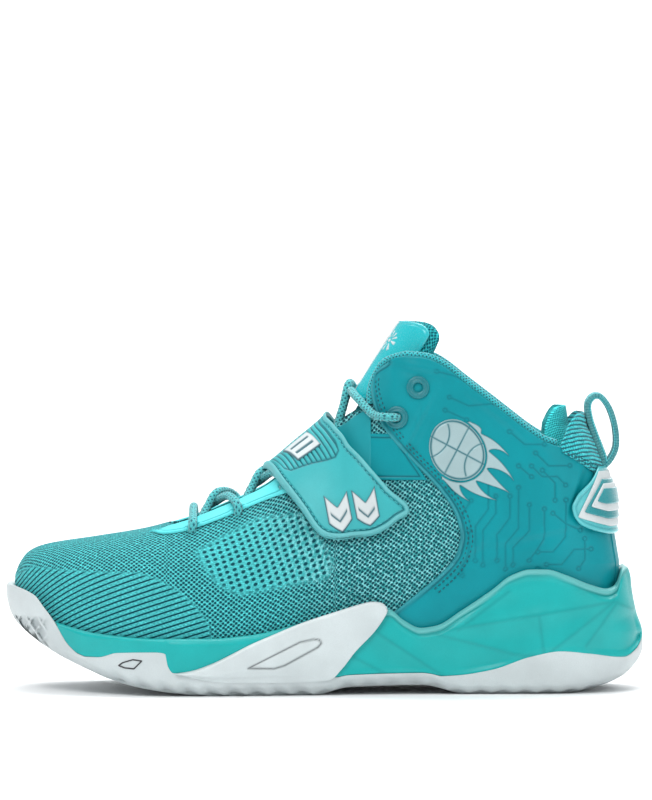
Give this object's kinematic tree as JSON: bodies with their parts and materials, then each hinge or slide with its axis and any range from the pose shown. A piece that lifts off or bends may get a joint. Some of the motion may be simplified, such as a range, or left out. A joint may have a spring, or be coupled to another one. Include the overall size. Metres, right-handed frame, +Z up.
{
  "type": "basketball shoe",
  "caption": "High-top basketball shoe with a cupped rubber sole, knit forefoot, glossy quarters, laced ringed throat, a wide hook-and-loop instep strap, a padded collar, a folding tongue and a heel pull loop",
  "frame": {"origin": "On the ground plane under the middle of the shoe, halfway between toe and heel and between the two sides", "axes": "+X points to the heel, -X to the toe, -Y to the outer side of this left shoe, +Z up"},
  "size_m": [0.2999, 0.1136, 0.1745],
  "materials": {
    "white_rubber": "matt white sole rubber",
    "teal_foam": "smooth foam with a painted sheen",
    "black_plastic": "fibre-filled plastic",
    "white_plastic": "matt white moulding",
    "board_fabric": "pressed fibre board",
    "insole_fabric": "brushed fabric over soft foam",
    "teal_knit": "patterned one-piece knit",
    "stiffener": "thin moulded stiffener",
    "quarter_shell": "moulded film with satin gloss and stitched edges",
    "collar_foam": "open-cell padding",
    "lining_fabric": "fine spacer mesh",
    "binding_fabric": "rolled knit tape",
    "pad_fabric": "diagonally ribbed knit",
    "overlay_film": "welded satin film",
    "ring_rubber": "moulded soft rubber",
    "webbing": "ribbed woven webbing",
    "clip_plastic": "satin moulding",
    "touch_tape": "hook-and-loop tape",
    "silver_print": "raised silver-grey print",
    "tongue_fabric": "padded spacer mesh",
    "tongue_film": "satin film with a white edge",
    "lace_fabric": "round braided cord",
    "clear_plastic": "smooth tipping film",
    "strap_film": "satin film over webbing",
    "strap_edge": "moulded raised border"
  },
  "bodies": {
    "shoe": {"outsole": "white_rubber", "midsole": "teal_foam", "shank_plate": "black_plastic", "side_plate_lateral": "white_plastic", "side_plate_medial": "white_plastic", "lasting_board": "board_fabric", "insole": "insole_fabric", "vamp_toe": "teal_knit", "vamp_side_lateral": "teal_knit", "vamp_side_medial": "teal_knit", "toe_puff": "stiffener", "quarter_lateral": "quarter_shell", "quarter_medial": "quarter_shell", "heel_counter": "stiffener", "collar_foam": "collar_foam", "collar_lining": "lining_fabric", "collar_binding": "binding_fabric", "heel_pad": "pad_fabric", "eyestay_lateral": "overlay_film", "eyestay_medial": "overlay_film", "eyelet_rings": "ring_rubber", "heel_tab": "webbing", "heel_clip": "clip_plastic", "heel_chevrons": "white_plastic", "loop_patch": "touch_tape", "ball_badge": "silver_print", "tongue_base": "tongue_fabric", "lace": "lace_fabric", "lace_aglets": "clear_plastic", "strap_anchor": "strap_film"},
    "strap": {"strap_band": "strap_film", "strap_rim": "strap_edge", "strap_hook_patch": "touch_tape", "strap_badges": "white_plastic"},
    "tongue": {"tongue_flap": "tongue_fabric", "tongue_flap_lining": "lining_fabric", "tongue_face": "tongue_film"},
    "loop": {"pull_loop": "webbing"}
  },
  "joints": [
    {"name": "strap_open", "type": "hinge", "parent": "shoe", "child": "strap", "pos_m": [0.0021, 0.0293, 0.1026], "axis": [-0.7089, 0.021, -0.7049], "range_deg": [0, 90]},
    {"name": "tongue_fold", "type": "hinge", "parent": "shoe", "child": "tongue", "pos_m": [0.0255, 0, 0.1415], "axis": [0, -1, 0], "range_deg": [0, 35]},
    {"name": "loop_lean", "type": "hinge", "parent": "shoe", "child": "loop", "pos_m": [0.1325, 0.0033, 0.1075], "axis": [0, 1, 0], "range_deg": [0, 50], "stiffness_Nm_per_rad": 0.02}
  ]
}
